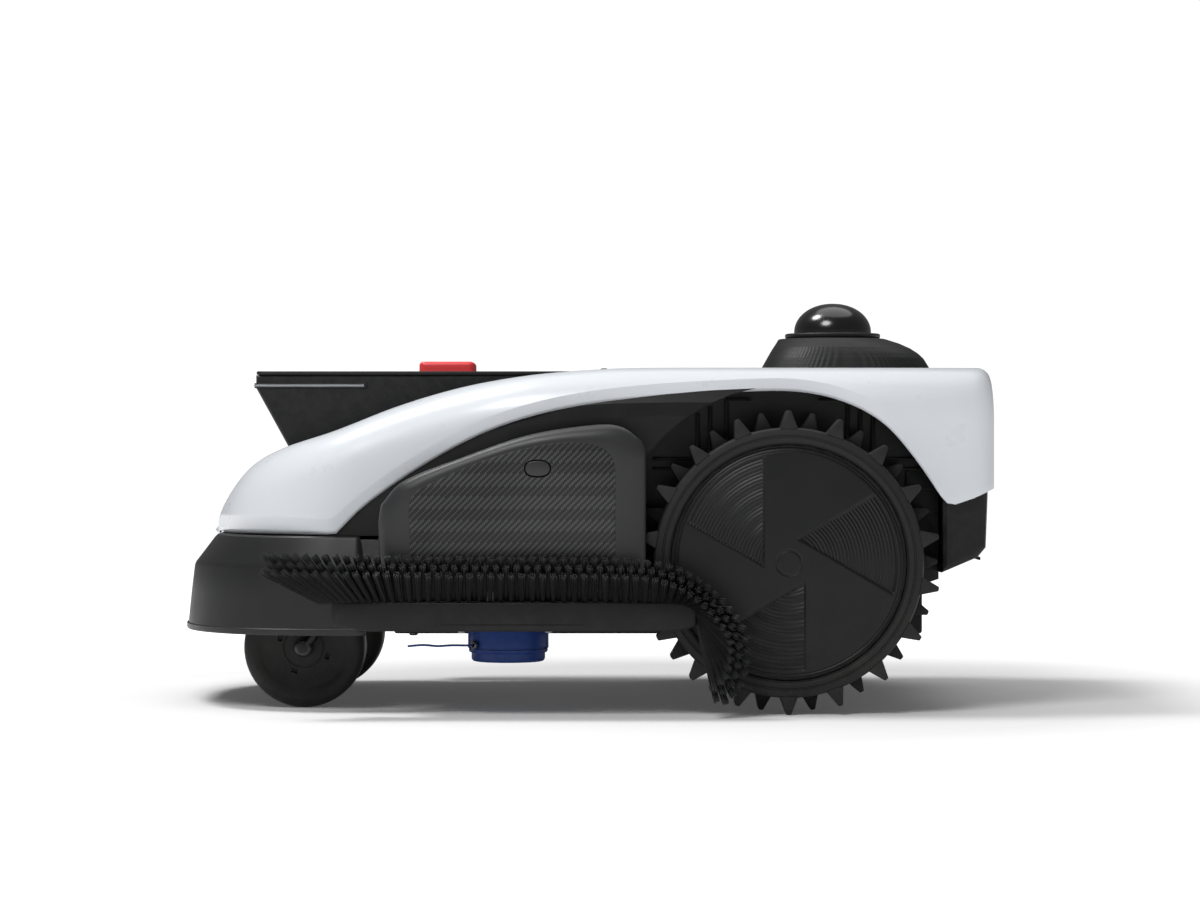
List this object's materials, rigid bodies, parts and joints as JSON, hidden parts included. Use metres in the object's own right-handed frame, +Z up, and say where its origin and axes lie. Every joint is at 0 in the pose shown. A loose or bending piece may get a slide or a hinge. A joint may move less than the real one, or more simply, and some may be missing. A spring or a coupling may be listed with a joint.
{
  "type": "robotic lawn mower",
  "caption": "Self-driving lawn mower with a lidar dome, swivel casters, lugged drive wheels, a disc cutter, an edge trimmer and a side brush.",
  "frame": {"origin": "on the ground, under the middle of the whole machine's bounding box", "axes": "+X from the nose to the tail, +Y from the left side, with the trimmer and brush, to the right side, +Z up"},
  "size_m": [0.656, 0.4759, 0.3303],
  "materials": {
    "white_gloss": "semi-gloss moulded",
    "black_plastic": "fine-grain moulded",
    "graphite_plastic": "satin moulded",
    "carbon_weave": "twill weave under clear coat",
    "tyre_rubber": "matte",
    "dark_window": "polished",
    "red_button": "satin",
    "blue_plastic": "satin",
    "plain_steel": "satin",
    "contact_brass": "plated",
    "light_strip": "translucent, frosted",
    "circuit_board": "lacquered",
    "bristle_nylon": "matte"
  },
  "bodies": {
    "root": {"white_shell": "white_gloss", "main_housing": "black_plastic", "chassis": "black_plastic", "rear_cover": "black_plastic", "console_housing": "black_plastic", "console_lid": "black_plastic", "lidar_collar": "black_plastic", "battery_pack": "black_plastic", "brush_holder": "black_plastic", "cutting_deck": "graphite_plastic", "lidar_hump": "graphite_plastic", "caster_bush_left": "graphite_plastic", "caster_bush_right": "graphite_plastic", "side_pod_left": "graphite_plastic", "side_pod_right": "graphite_plastic", "battery_cover": "graphite_plastic", "carbon_insert_left": "carbon_weave", "carbon_insert_right": "carbon_weave", "display_window": "dark_window", "camera_window": "dark_window", "lidar_dome": "dark_window", "rain_sensor": "plain_steel", "drive_motor_left": "plain_steel", "drive_motor_right": "plain_steel", "trimmer_motor": "plain_steel", "charging_contact_left": "contact_brass", "charging_contact_right": "contact_brass", "light_bar": "light_strip", "main_board": "circuit_board", "side_brush": "bristle_nylon"},
    "front_bumper": {"front_bumper": "black_plastic"},
    "caster_fork_left": {"caster_fork_left": "plain_steel"},
    "caster_fork_right": {"caster_fork_right": "plain_steel"},
    "caster_wheel_left": {"caster_wheel_left": "tyre_rubber"},
    "caster_wheel_right": {"caster_wheel_right": "tyre_rubber"},
    "drive_wheel_left": {"tyre_left": "tyre_rubber", "wheel_rim_left": "black_plastic", "wheel_cap_left": "graphite_plastic", "wheel_axle_left": "plain_steel"},
    "drive_wheel_right": {"tyre_right": "tyre_rubber", "wheel_rim_right": "black_plastic", "wheel_cap_right": "graphite_plastic", "wheel_axle_right": "plain_steel"},
    "cutter_carriage": {"cutter_carriage": "graphite_plastic", "cutter_motor": "plain_steel"},
    "blade_disc": {"blade_disc": "graphite_plastic"},
    "razor_blade_1": {"razor_blade_1": "plain_steel"},
    "razor_blade_2": {"razor_blade_2": "plain_steel"},
    "razor_blade_3": {"razor_blade_3": "plain_steel"},
    "trimmer_head": {"trimmer_head": "blue_plastic", "trimmer_spool_cap": "blue_plastic", "line_eyelet": "plain_steel", "trimmer_line": "blue_plastic"},
    "stop_button": {"stop_button": "red_button"},
    "key_start": {"key_start": "graphite_plastic"},
    "key_home": {"key_home": "graphite_plastic"},
    "oval_button_left": {"oval_button_left": "graphite_plastic"},
    "oval_button_right": {"oval_button_right": "graphite_plastic"},
    "lidar_rotor": {"lidar_rotor": "graphite_plastic"}
  },
  "joints": [
    {"name": "bumper_press", "type": "slide", "parent": "root", "child": "front_bumper", "axis": [1, 0, 0], "range_m": [0, 0.006], "stiffness_N_per_m": 2500, "springref_m": -0.002},
    {"name": "caster_swivel_left", "type": "hinge", "parent": "root", "child": "caster_fork_left", "pos_m": [-0.2173, -0.1015, 0.12], "axis": [0, 0, 1], "continuous": true},
    {"name": "caster_roll_left", "type": "hinge", "parent": "caster_fork_left", "child": "caster_wheel_left", "pos_m": [-0.2223, -0.1015, 0.0487], "axis": [0, 1, 0], "continuous": true},
    {"name": "drive_left", "type": "hinge", "parent": "root", "child": "drive_wheel_left", "pos_m": [0.163, -0.1655, 0.119], "axis": [0, 1, 0], "continuous": true},
    {"name": "oval_button_press_left", "type": "slide", "parent": "root", "child": "oval_button_left", "axis": [0, 1, 0], "range_m": [0, 0.0015], "stiffness_N_per_m": 400, "springref_m": -0.0005},
    {"name": "caster_swivel_right", "type": "hinge", "parent": "root", "child": "caster_fork_right", "pos_m": [-0.2173, 0.1325, 0.12], "axis": [0, 0, 1], "continuous": true},
    {"name": "caster_roll_right", "type": "hinge", "parent": "caster_fork_right", "child": "caster_wheel_right", "pos_m": [-0.2223, 0.1325, 0.0487], "axis": [0, 1, 0], "continuous": true},
    {"name": "drive_right", "type": "hinge", "parent": "root", "child": "drive_wheel_right", "pos_m": [0.163, 0.1965, 0.119], "axis": [0, 1, 0], "continuous": true},
    {"name": "oval_button_press_right", "type": "slide", "parent": "root", "child": "oval_button_right", "axis": [0, -1, 0], "range_m": [0, 0.0015], "stiffness_N_per_m": 400, "springref_m": -0.0005},
    {"name": "cutting_height", "type": "slide", "parent": "root", "child": "cutter_carriage", "axis": [0, 0, -1], "range_m": [0, 0.035]},
    {"name": "blade_spin", "type": "hinge", "parent": "cutter_carriage", "child": "blade_disc", "pos_m": [-0.0045, 0.0155, 0.0665], "axis": [0, 0, 1], "continuous": true},
    {"name": "razor_swing_1", "type": "hinge", "parent": "blade_disc", "child": "razor_blade_1", "pos_m": [0.0635, 0.0155, 0.065], "axis": [0, 0, 1], "continuous": true},
    {"name": "razor_swing_2", "type": "hinge", "parent": "blade_disc", "child": "razor_blade_2", "pos_m": [-0.0385, 0.07439, 0.065], "axis": [0, 0, 1], "continuous": true},
    {"name": "razor_swing_3", "type": "hinge", "parent": "blade_disc", "child": "razor_blade_3", "pos_m": [-0.0385, -0.04339, 0.065], "axis": [0, 0, 1], "continuous": true},
    {"name": "trimmer_spin", "type": "hinge", "parent": "root", "child": "trimmer_head", "pos_m": [-0.0575, -0.1395, 0.05], "axis": [0, 0, 1], "continuous": true},
    {"name": "stop_press", "type": "slide", "parent": "root", "child": "stop_button", "axis": [0, 0, -1], "range_m": [0, 0.004], "stiffness_N_per_m": 900, "springref_m": -0.0015},
    {"name": "start_press", "type": "slide", "parent": "root", "child": "key_start", "axis": [0, 0, -1], "range_m": [0, 0.0012], "stiffness_N_per_m": 400, "springref_m": -0.0005},
    {"name": "home_press", "type": "slide", "parent": "root", "child": "key_home", "axis": [0, 0, -1], "range_m": [0, 0.0012], "stiffness_N_per_m": 400, "springref_m": -0.0005},
    {"name": "lidar_spin", "type": "hinge", "parent": "root", "child": "lidar_rotor", "pos_m": [0.2115, 0.0155, 0.306], "axis": [0, 0, 1], "continuous": true}
  ]
}
